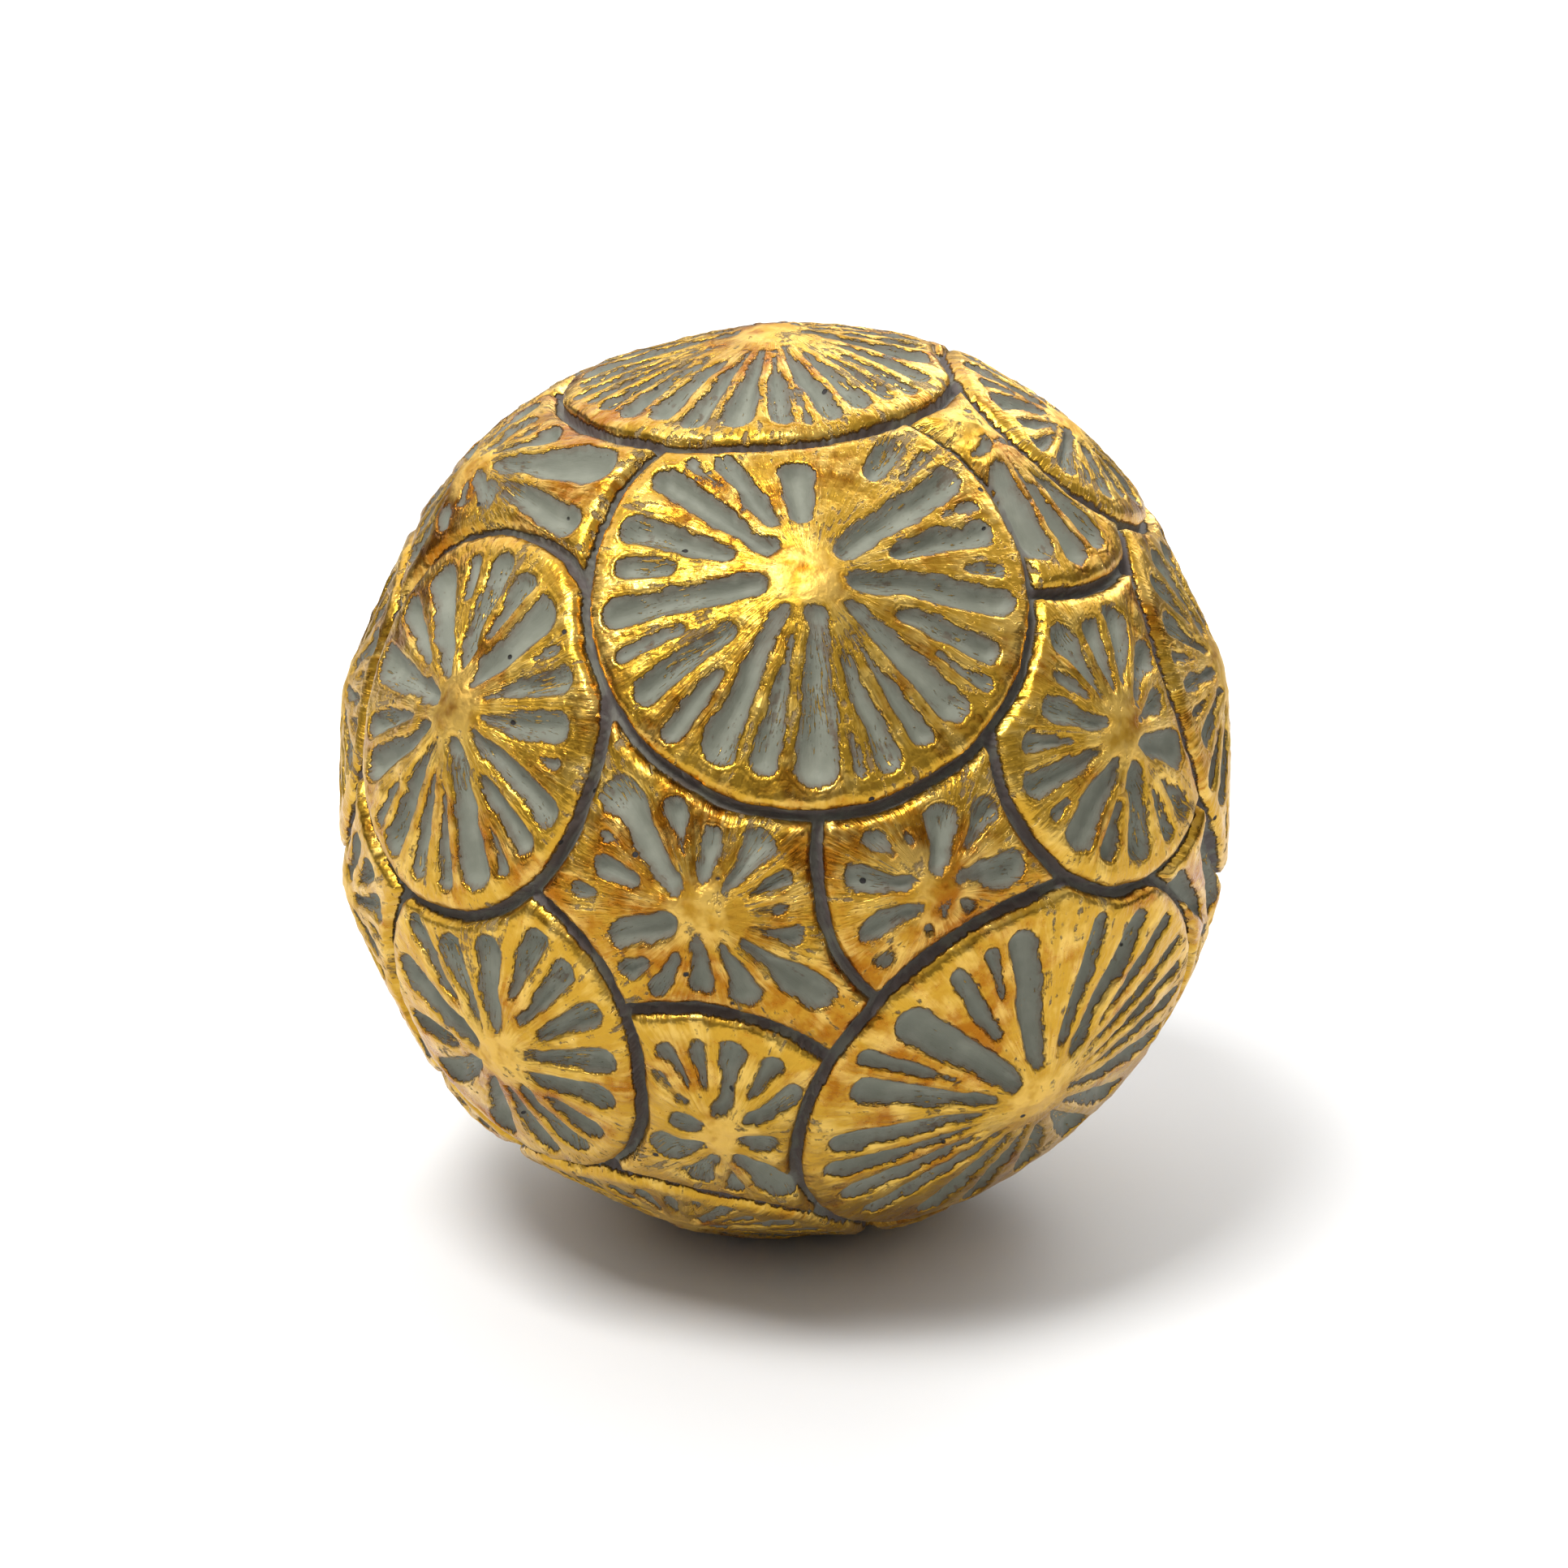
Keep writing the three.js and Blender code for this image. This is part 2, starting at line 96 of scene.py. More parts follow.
# The shells, the uppermost first: name, centre of the outline, its radius, the boss, the
# flutes, each a kind and its bearing clockwise from the top, and what is special about it:
# "oval" is how far the outline departs from round and at what bearing, "rise" is the share
# of the usual height, and "worn" is how worn the leaf is, from 0 to 1. Angles are in
# degrees, and places are (longitude, latitude) with longitude 0 at the front.
SHELLS = (
    ("shoulder", (90, 54), 17.5, (80, 53.5), ring(10, "LmLMLmLLMLmLMLLm"), {"oval": (1.2, 80)}),
    ("crown", (-44, 85), 25.4, (-20, 85.5),
     "l105 l115 L125 L139 s148 l157 L172 L187 L200 L212 M223 l232 l240 l249 L262 M278 L293 "
     "L310 M326 L341 L357 M12 L27 L43 M58 L74 l90",
     {"worn": 0.6}),
    ("front", (4.5, 41.8), 27.4, (3.5, 41),
     "M358 S29 s39 L49 s60 M68 s80 L91 M109 s117 L130 l144 M156 s166 W178 L194 L210 S226 M240 "
     "s254 L266 S281 M295 L315 s324 M332",
     {"oval": (0.4, 30)}),
    ("left", (-47, 20.5), 22.9, (-45, 21.5),
     "M10 W28 s49 L63 L85 s99 L117 M134 s146 W161 l178 l192 L209 s222 L239 M256 W279 M299 L319 "
     "s337 L352",
     {"oval": (0.7, -20)}),
    ("foot", (0, -90), 21, (0, -90), ring(0, "MMMMMMMMMMMMMMMMMM"), {}),
    ("right_edge", (88, 17), 27.1, (76, 19), ring(15, EVEN), {"oval": (1.5, -25)}),
    ("back_upper", (-172, 50), 23, (-172, 50), ring(0, MIXED), {}),
    ("wedge", (53.5, 58.8), 23, (49, 59),
     "L300 M330 L0 L25 M50 L72 L92 M112 L130 L144 L158 L173 L190 L206 M235 L265", {"worn": 0.5}),
    ("right", (48.8, 21.3), 21.1, (46, 18.5),
     "L4 L22 L50 L72 W112 m137 m150 L175 M198 W223 s242 L260 M278 W297 M320 L342",
     {"oval": (0.8, 35)}),
    ("low_right", (36, -27), 30.2, (34, -24),
     "l17 L37 m51 l64 l76 l88 L102 L120 L137 L152 L168 L186 L205 L222 L238 L252 L275 m287 W303 "
     "m321 s334 L347",
     {}),
    ("low_left", (-39.5, -18.5), 21.5, (-38.5, -19.5),
     "L5 M26 M42 M61 L84 L108 M137 L158 L180 L205 L235 M262 W290 M318 L338", {"oval": (1.5, 15)}),
    ("back_left", (-146, 14), 26, (-146, 14), ring(5, LOOSE), {}),
    ("under_front", (-29, -63), 24, (-22, -54), ring(8, EVEN), {"rise": 0.45}),
    ("chin", (-11.4, -30.4), 21.4, (-8, -26.5),
     "L8 M31 L53 s80 L118 W153 m178 L203 W240 W280 m320 M334 M350", {}),
    ("nook", (27, 8.3), 23, (17, 5.5),
     "W12 M41 s62 W80 W115 W150 M185 M215 W237 s260 W285 M310 M340", {"worn": 1.0}),
    ("left_shoulder", (-131, 55), 21, (-126, 52), ring(0, MIXED), {}),
    ("back_low_right", (142, -28), 25, (142, -28), ring(12, MIXED), {}),
    ("left_edge", (-90, 14), 22, (-84, 15), ring(3, EVEN), {}),
    ("upper_left", (-66, 49), 30, (-70, 48),
     "L32 W58 M84 L110 M130 L150 L172 L195 L216 M238 L258 L280 M300 L322 L345 M8", {"worn": 0.8}),
    ("back_middle", (165, 10), 29, (165, 10), ring(0, EVEN), {}),
    ("low_back_left", (-118, -46), 24, (-118, -48), ring(7, LOOSE), {}),
    ("back_right", (122, 4), 28, (125, 6), ring(4, LOOSE), {}),
    ("back_upper_right", (131, 45), 29, (132, 42), ring(9, EVEN), {}),
    ("right_low_edge", (77, -9), 29, (80, -16), ring(0, MIXED), {"rise": 0.2}),
    ("back_low", (-170, -28), 29, (-175, -30), ring(6, LOOSE), {}),
    ("left_low_edge", (-76, -11), 25, (-74, -9), ring(2, EVEN), {"rise": 0.5}),
    ("far_left", (-118, -8), 30, (-116, -12), ring(11, MIXED), {}),
    ("under_back", (-178, -64), 28, (-178, -60), ring(5, EVEN), {}),
    ("low_back_right", (95, -46), 31, (96, -48), ring(0, MIXED), {}),
    ("under_left", (-73, -46), 28, (-74, -44), ring(6, LOOSE), {"rise": 0.6}),
    ("under_right", (24, -60), 26, (36, -63), ring(3, "LMLsLMLM"), {"rise": 0.4}),
    ("left_back_gap", (-114, 32), 20, (-115, 33), ring(0, "LMLsLMLM"), {}),
    ("middle", (-9.5, 5), 28, (-9, 3.5),
     "W5 W37 M65 M87 M105 L128 L153 L182 m208 S230 L250 s275 m290 s304 W319 M340", {"worn": 0.9}),
)

# Broad swellings and hollows of the cast: where, how far they reach, and their height
SWELLS = (
    ((108, 60), 44, 1.5),
    ((-100, 52), 50, 0.8),
    ((-90, 18), 34, -1.1),
)

# How far one flute strays from its place in the list, at most
STRAY_BEARING = 1.2  # degrees
STRAY_WIDTH = 0.08  # of its width
STRAY_START = 0.12  # of where it starts
STRAY_END = 1.1  # mm
END_GAP = 0.3  # mm that a flute usually stops short of the plain band
MOST_WEAR = 0.35  # of a shell whose wear isn't listed

# Proportions of a flute
LEAST_REACH = 0.75  # of the way to the lip, however wide the plain band is
LATEST_START = 0.8  # of the way to its end
WIDEST = 0.42  # half its width, over its length
NARROWING = 0.7  # its width near the boss, over its width near the lip
LEAST_LENGTH = 0.1  # mm
MOST_LEAN = 0.9  # of its sides, as a sine
EDGE_ROUNDING = 0.01  # mm squared
HOLLOWNESS = 1.8  # 1 gives straight sides, and more gives a rounder floor
LEAST_DEPTH = 0.35  # share of the depth that even the narrowest has
DEPTH_WIDTH = 2.2  # mm of half its width that would add the whole depth

# A channel and the leaf beside it
STEEP_BANK = 0.85  # reach of the upper shell's bank, over half the channel's width
GENTLE_BANK = 1.15  # reach of the lower shell's bank
CORNER = 0.2  # mm, rounding between a shell and its channel
LUMP_FADE = 0.4  # mm, over which the lumps in the leaf fade out into a flute

# Noise of two scales: waves in the ball's radius, and the share of each
DRIFT = ((7.0, 1.5), (19.0, 0.6))
LUMPS = ((30.0, 1.0), (52.0, 0.3))

FOOT_STEPS = 4000  # along the foot's flank, to find where the flat spot cuts it

# The mesh: an icosphere, split where the relief bends by more than a tolerance in mm
ICOSPHERE_LEVEL = 7
SPLIT_TOLERANCE = 0.03
MOST_SPLITS = 45000


def number(name, description, default, low, high, **more):
    """A size or a share that a user may change."""
    return bpy.props.FloatProperty(
        name=name, description=description, default=default, min=low, max=high, **more
    )


def paint(name, description, default):
    """A colour that a user may change."""
    return bpy.props.FloatVectorProperty(
        name=name,
        description=description,
        default=default,
        subtype="COLOR",
        size=3,
        min=0.0,
        max=1.0,
    )


class BallSizes(bpy.types.PropertyGroup):
    lip_radius: number(
        "Lip radius", "From the centre to the lips of the shells, in mm", 49.5, 30, 80
    )
    tallness: number("Tallness", "Height of the ball over its width", 1.015, 0.9, 1.1)
    rise: number(
        "Rise",
        "Height of a boss over its lip, over the shell's radius",
        0.1,
        0,
        0.3,
        subtype="FACTOR",
    )
    fullness: number(
        "Fullness",
        "0 makes a flank straight, 1 makes it follow the ball",
        0.3,
        0,
        1,
        subtype="FACTOR",
    )
    brow: number("Brow", "How far the flanks stand above the lips, in mm", 0.45, 0, 2)
    lip_width: number("Lip width", "Plain band outside the flutes, in mm", 1.6, 0.5, 4)
    channel_width: number(
        "Channel width", "Width of the channels between shells, in mm", 1.5, 1, 5
    )
    channel_depth: number(
        "Channel depth", "Depth of the channels below the lips, in mm", 1.5, 0.2, 3
    )
    flute_depth: number("Flute depth", "Depth of the widest flutes, in mm", 1.55, 0.2, 3)
    ridge_width: number(
        "Ridge width", "Least width of the ridges between flutes, in mm", 1.05, 0.2, 4
    )
    foot_radius: number("Foot radius", "Radius of the flat spot underneath, in mm", 9.0, 2, 20)
    bluntness: number("Bluntness", "Radius that blunts a boss, in mm", 1.9, 0, 5)
    crust: number("Crust", "Height of the lumps in the leaf, in mm", 0.18, 0, 1)
    waviness: number("Waviness", "How far the carving strays from true, in mm", 0.22, 0, 1)
    seed: bpy.props.IntProperty(
        name="Seed", description="Seed of every irregularity", default=7, min=1
    )


class BallColours(bpy.types.PropertyGroup):
    ground: paint("Ground", "Matt grey-green paint in the flutes", (0.18, 0.187, 0.142))
    ground_worn: paint(
        "Worn ground", "Lighter, chalky patches of the ground", (0.232, 0.238, 0.184)
    )
    # Dark wash in the channels; at full strength under the upper shell's wall it is painted shade
    wash: paint("Wash", "Dark wash in the channels", (0.086, 0.068, 0.062))
    # Painted shade that darkens the ground along the flute walls
    wash_thin: paint("Thin wash", "The wash where it thins over the ground", (0.1, 0.1, 0.08))
    stain: paint("Stain", "Brown edge of the leaf along the flutes", (0.1, 0.058, 0.03))
    leaf: paint("Leaf", "Gold leaf", (0.55, 0.312, 0.033))
    leaf_deep: paint("Deep leaf", "Gold leaf where it is thicker and darker", (0.35, 0.125, 0.008))
    leaf_pale: paint("Pale leaf", "Gold leaf where it is burnished", (0.88, 0.61, 0.16))
    floor: paint("Floor", "Pale studio floor", (0.72, 0.72, 0.72))


# Carving


def heading(longitude, latitude):
    """The direction at a longitude and latitude in degrees."""
    around, up = math.radians(longitude), math.radians(latitude)
    level = math.cos(up)
    return np.array((level * math.sin(around), -level * math.cos(around), math.sin(up)))


def compass(axis):
    """East and north at a point of the ball."""
    east = np.array((-axis[1], axis[0], 0.0))
    level = np.linalg.norm(east)
    east = east / level if level > 1e-6 else np.array((1.0, 0.0, 0.0))
    return east, np.cross(axis, east)


def polar(axis, points):
    """Angle from an axis, and bearing around it, clockwise from the top."""
    east, north = compass(axis)
    x, y = points @ east, points @ north
    return np.arctan2(np.hypot(x, y), points @ axis), np.arctan2(x, y) % TURN


def soft_least(a, b, blend):
    """The lesser of two heights, with the corner between them rounded."""
    near = np.maximum(blend - np.abs(a - b), 0) / blend
    return np.minimum(a, b) - near * near * blend / 4


class Shell:
    """One shell: a round outline, a boss and the flutes around it."""

    def __init__(self, row, sizes, chance):
        name, centre, radius, boss, flutes, special = row
        oval, bearing = special.get("oval", (0, 0))
        self.name = name
        self.centre = heading(*centre)
        self.boss = heading(*boss)
        self.radius = math.radians(radius)
        self.oval = math.radians(oval)
        self.oval_bearing = math.radians(bearing)
        rise = special.get("rise", 1.0) * sizes.rise
        self.boss_radius = sizes.lip_radius * (1 + rise * self.radius)
        self.tint = chance.random()
        self.worn = special.get("worn", MOST_WEAR * chance.random())
        self.flutes = []
        for flute in flutes.split():
            half, start, depth = FLUTES[flute[0]]
            stray = chance.uniform(-1, 1, 3)
            self.flutes.append(
                {
                    "bearing": math.radians(float(flute[1:]) + STRAY_BEARING * stray[0]),
                    "half": half * (1 + STRAY_WIDTH * stray[1]),
                    "start": start * (1 + STRAY_START * stray[2]),
                    "depth": depth,
                    "gap": STRAY_END * (stray[1] + stray[2]) / 2 + END_GAP,
                }
            )

    def depth_inside(self, points):
        """The angle from points to the outline, negative outside it."""
        angle, bearing = polar(self.centre, points)
        return self.radius + self.oval * np.cos(2 * (bearing - self.oval_bearing)) - angle

    def find_lips(self, higher, channel):
        """The angle from the boss to the lip at every degree of bearing."""
        east, north = compass(self.boss)
        bearings = BEARINGS[:, None]
        angles = LIP_ANGLES[None, :]
        out = np.sin(angles)
        grid = (
            np.cos(angles)[..., None] * self.boss
            + (out * np.cos(bearings))[..., None] * north
            + (out * np.sin(bearings))[..., None] * east
        )
        margin = self.depth_inside(grid)
        for other in higher:
            margin = np.minimum(margin, -other.depth_inside(grid))
        past = (margin < channel).argmax(axis=1)
        every = np.arange(len(BEARINGS))
        before, after = margin[every, past - 1], margin[every, past]
        share = (before - channel) / (before - after)
        self.lips = angles[0, past - 1] + share * (angles[0, past] - angles[0, past - 1])

    def lip_at(self, bearing):
        """The angle from the boss to the lip at any bearing."""
        return np.interp(bearing, BEARINGS, self.lips, period=TURN)

    def flank(self, angle, lip, sizes):
        """Radius of the flank without its flutes."""
        angle = np.minimum(angle, lip)
        outer = sizes.lip_radius + sizes.brow
        straight = np.sin(lip) / (np.sin(lip - angle) / self.boss_radius + np.sin(angle) / outer)
        full = self.boss_radius + (outer - self.boss_radius) * angle / lip
        return straight + (full - straight) * sizes.fullness

    def scoop(self, angle, bearing, sizes):
        """Depth of the flutes and distance to the nearest flute's edge, in mm."""
        run = angle * sizes.lip_radius
        distances = np.empty((len(self.flutes), len(angle)))
        halves = np.empty_like(distances)
        deepest = np.array([flute["depth"] for flute in self.flutes]) * sizes.flute_depth
        for row, flute in enumerate(self.flutes):
            lip = float(self.lip_at(flute["bearing"])) * sizes.lip_radius
            end = max(lip - sizes.lip_width, LEAST_REACH * lip) - flute["gap"]
            start = min(flute["start"] * lip, LATEST_START * end)
            wide = min(flute["half"], WIDEST * (end - start))
            thin = NARROWING * wide
            low, length = start + thin, end - wide - start - thin
            if length < LEAST_LENGTH:
                low, length = (start + end) / 2 - LEAST_LENGTH / 2, LEAST_LENGTH
            # A flute is the outline of two discs, the thin one nearer the boss
            x = np.abs(run * np.sin(bearing - flute["bearing"]))
            y = run * np.cos(bearing - flute["bearing"]) - low
            lean = min(max((thin - wide) / length, -MOST_LEAN), MOST_LEAN)
            upright = math.sqrt(1 - lean * lean)
            along = -lean * x + upright * y
            side = upright * x + lean * y - thin
            inner = np.hypot(x, y) - thin
            outer = np.hypot(x, y - length) - wide
            past_end = np.where(along > upright * length, outer, side)
            distances[row] = np.where(along < 0, inner, past_end)
            halves[row] = thin + (wide - thin) * np.clip(y / length, 0, 1)
        # Where two flutes would meet, a ridge of the least width is left between them
        order = np.argsort(distances, axis=0)
        every = np.arange(len(angle))
        first, second = distances[order[0], every], distances[order[1], every]
        edge = np.maximum(first, (first - second) / 2 + sizes.ridge_width / 2)
        inside = (np.sqrt(edge * edge + EDGE_ROUNDING) - edge) / 2
        half = halves[order[0], every]
        hollow = 1 - (1 - np.clip(inside / half, 0, 1)) ** HOLLOWNESS
        fullest = deepest[order[0]] * np.minimum(1, LEAST_DEPTH + half / DEPTH_WIDTH)
        return fullest * hollow, edge


def layered(kind, points, layers):
    """Noise of two scales at each point."""
    (broad, most), (fine, least) = layers
    return np.array(
        [kind(Vector(p) * broad) * most + kind(Vector(p) * fine) * least for p in points]
    )


class Carving:
    """The relief of the whole ball, as functions of direction from its centre."""

    def __init__(self, sizes):
        self.sizes = sizes
        # Without a seed, noise vectors start from the clock and no two runs agree
        noise.seed_set(sizes.seed)
        chance = np.random.default_rng(sizes.seed)
        self.shells = [Shell(row, sizes, chance) for row in SHELLS]
        channel = sizes.channel_width / 2 / sizes.lip_radius
        for order, shell in enumerate(self.shells):
            shell.find_lips(self.shells[:order], channel)
        # The flat spot cuts the foot's flank where that is as wide as the spot
        foot = next(shell for shell in self.shells if shell.name == "foot")
        lip = foot.lips[0]
        angles = np.linspace(0, lip, FOOT_STEPS)
        flank = foot.flank(angles, lip, sizes)
        edge = np.argmax(flank * np.sin(angles) > sizes.foot_radius)
        self.flat_drop = flank[edge] * math.cos(angles[edge])

    def stray(self, points):
        """Points moved a little sideways, so that nothing is quite true."""
        reach = self.sizes.waviness / self.sizes.lip_radius
        moved = points + reach * layered(noise.noise_vector, points, DRIFT)
        return moved / np.linalg.norm(moved, axis=1)[:, None]

    def survey(self, points):
        """Each point's shell, its distance in mm from the middle of the nearest channel,
        and 1 where its own shell is the upper one there, or -1."""
        depths = np.stack([shell.depth_inside(points) for shell in self.shells])
        owner = (depths > 0).argmax(axis=0)
        order = np.arange(len(self.shells))[:, None]
        outside = np.where(order < owner, -depths, FAR).min(axis=0)
        own = depths[owner, np.arange(len(points))]
        margin = np.minimum(own, outside) * self.sizes.lip_radius
        return owner, margin, np.where(own < outside, 1, -1)

    def swell(self, points):
        """Height of the broad swellings and hollows at each point, in mm."""
        total = np.zeros(len(points))
        for place, reach, height in SWELLS:
            angle, _ = polar(heading(*place), points)
            away = np.minimum(1, angle / math.radians(reach))
            total += height * (1 - away * away) ** 2
        return total

    def relief(self, points):
        """Radius at each point in mm, and what the finish needs to know there: the distance
        from the nearest channel's middle, the side of it, the distance from the nearest
        flute's edge, a map of the shell, and its wear."""
        sizes = self.sizes
        moved = self.stray(points)
        owner, margin, side = self.survey(moved)
        radius = np.zeros(len(points))
        groove = np.full(len(points), FAR)
        chart = np.zeros((len(points), 3))
        wear = np.zeros(len(points))
        half = sizes.channel_width / 2
        for index, shell in enumerate(self.shells):
            mine = np.nonzero(owner == index)[0]
            if not len(mine):
                continue
            angle, bearing = polar(shell.boss, moved[mine])
            lip = shell.lip_at(bearing)
            blunt = np.hypot(angle, sizes.bluntness / sizes.lip_radius)
            flank = shell.flank(blunt, lip, sizes)
            depth, nearest = shell.scoop(angle, bearing, sizes)
            brow = np.clip(1 - (margin[mine] - half) / sizes.lip_width, 0, 1)
            radius[mine] = flank - depth - sizes.brow * brow**3
            groove[mine] = nearest
            run = angle * sizes.lip_radius
            chart[mine, 0] = run * np.sin(bearing)
            chart[mine, 1] = run * np.cos(bearing)
            chart[mine, 2] = shell.tint
            wear[mine] = shell.worn
        floor = sizes.lip_radius - sizes.channel_depth
        reach = half * np.where(side > 0, STEEP_BANK, GENTLE_BANK)
        bed = floor + sizes.channel_depth * (margin / reach) ** 2
        lump = sizes.crust * layered(noise.noise, points, LUMPS)
        lump = lump * np.clip(groove / LUMP_FADE + 0.5, 0, 1) * np.clip(margin / half, 0, 1)
        radius = soft_least(radius + lump, bed, CORNER) + self.swell(points)
        return radius, margin, side, groove, chart, wear

    def place(self, points, radius):
        """Positions in metres, with the flat spot on the floor."""
        at = points * radius[:, None]
        at[:, 2] = np.maximum(at[:, 2] + self.flat_drop, 0) * self.sizes.tallness
        return at * MM


def directions(vertices):
    """The direction of each vertex from the centre."""
    points = np.array([v.co for v in vertices])
    return points / np.linalg.norm(points, axis=1)[:, None]


def refine(ball, carving, tolerance, most):
    """Splits the edges over which the relief bends by more than a tolerance in mm."""
    ball.verts.index_update()
    ball.edges.ensure_lookup_table()
    points = directions(ball.verts)
    ends = np.array([[v.index for v in edge.verts] for edge in ball.edges])
    middles = points[ends].sum(axis=1)
    middles /= np.linalg.norm(middles, axis=1)[:, None]
    radius = carving.relief(points)[0]
    bend = np.abs(carving.relief(middles)[0] - radius[ends].mean(axis=1))
    chosen = np.argsort(-bend)[:most]
    chosen = chosen[bend[chosen] > tolerance]
    edges = [ball.edges[i] for i in chosen]
    bmesh.ops.subdivide_edges(ball, edges=edges, cuts=1, use_grid_fill=True, use_single_edge=True)
    bmesh.ops.triangulate(ball, faces=[f for f in ball.faces if len(f.verts) > 3])


def keep_field(mesh, name, values):
    """Stores one number or vector for each vertex, for the finish to read."""
    kind, field = ("FLOAT", "value") if values.ndim == 1 else ("FLOAT_VECTOR", "vector")
    layer = mesh.attributes.new(name, kind, "POINT")
    layer.data.foreach_set(field, values.astype(np.float32).ravel())


class OBJECT_OT_carved_ball(bpy.types.Operator):
    """Carves the ball and lays its paint, wash and gold leaf"""

    bl_idname = "object.carved_ball"
    bl_label = "Carved ball"

    def execute(self, context):
        sizes = context.scene.ball_sizes
        carving = Carving(sizes)
        ball = bmesh.new()
        bmesh.ops.create_icosphere(ball, subdivisions=ICOSPHERE_LEVEL, radius=1.0)
        refine(ball, carving, SPLIT_TOLERANCE, MOST_SPLITS)
        points = directions(ball.verts)
        radius, margin, side, groove, chart, wear = carving.relief(points)
        for vertex, at in zip(ball.verts, carving.place(points, radius)):
            vertex.co = at
        bmesh.ops.recalc_face_normals(ball, faces=ball.faces)
        for face in ball.faces:
            face.smooth = True
        mesh = bpy.data.meshes.new("gilded_ball")
        ball.to_mesh(mesh)
        ball.free()
        fields = {"gutter": margin, "side": side, "groove": groove, "chart": chart, "wear": wear}
        for name, values in fields.items():
            keep_field(mesh, name, values)
        piece = bpy.data.objects.new("gilded_ball", mesh)
        context.scene.collection.objects.link(piece)
        mesh.materials.append(GildedCast(context.scene.ball_colours, sizes).build())
        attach(piece, "root")
        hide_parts("carved_ball")
        return {"FINISHED"}


# Finish

# Scales of the noise, in waves in a metre
PATCHES = 120.0
COARSE = 300.0
MIDDLING = 900.0
FINE = 2600.0

# The streaks are noise around a circle, of this radius, that slowly moves on along the run
# (for each mm from the boss) and jumps from shell to shell. They have two scales
STREAK_TURN = 14.0
STREAK_RUN = 0.14
STREAK_SHIFT = 40.0
STREAKS = 1.4
FINE_STREAKS = 4.5

RAGGED_MIDDLE = -1.2  # brings the mean of the ragged edge to 0

# Soft steps: where a thing begins, and where it is full. Those without a unit are amounts
# of noise
BOSS_TOP = (5.0, 2.0)  # mm from the boss
HANDLED = (0.062, 0.096)  # metres above the floor: hands have rubbed the crown
LEAF_EDGE = (-0.26, -0.1)  # mm from the edge of a flute, negative inside it
CHANNEL_EDGE = (-0.22, -0.08)  # mm from half the channel's width
RUBBED = (0.93, 1.03)
DRAGGED = (0.93, 1.0)
CHALKY = (0.4, 0.68)
STAIN_IN = (-0.8, -0.15)  # mm from the edge of the leaf
STAIN_OUT = (2.5, 1.0)  # mm from the edge of a flute
WALL_SHADE = (-1.3, -0.35)  # mm from the edge of a flute, over which painted shade darkens the ground towards the flute walls
WASHED = (0.15, -0.1)  # mm from half the channel's width
SHADE_UNDER_LIP = (-0.3, 0.25)  # mm across the channel, over which painted shade darkens the wash under the upper shell's wall
WASH_GAPS = (0.52, 0.66)
THICK_LEAF = (0.42, 0.72)
BURNISHED = (0.5, 0.72)
BURR_IN = (-0.2, 0.05)  # mm from the edge of the leaf
BURR_OUT = (0.55, 0.1)  # mm from the edge of the leaf

# Pinholes: a cast has so many cells in a metre, and some of the cells have one
PINHOLE_CELLS = 230.0
PINHOLE_EDGE = (0.085, 0.055)  # in cells
NO_PINHOLE = 0.5  # share of the cells
# Nearly black: painted shade inside a pinhole
PINHOLE_SHADE = (0.012, 0.009, 0.008)
PINHOLE_DEPTH = 0.3  # mm


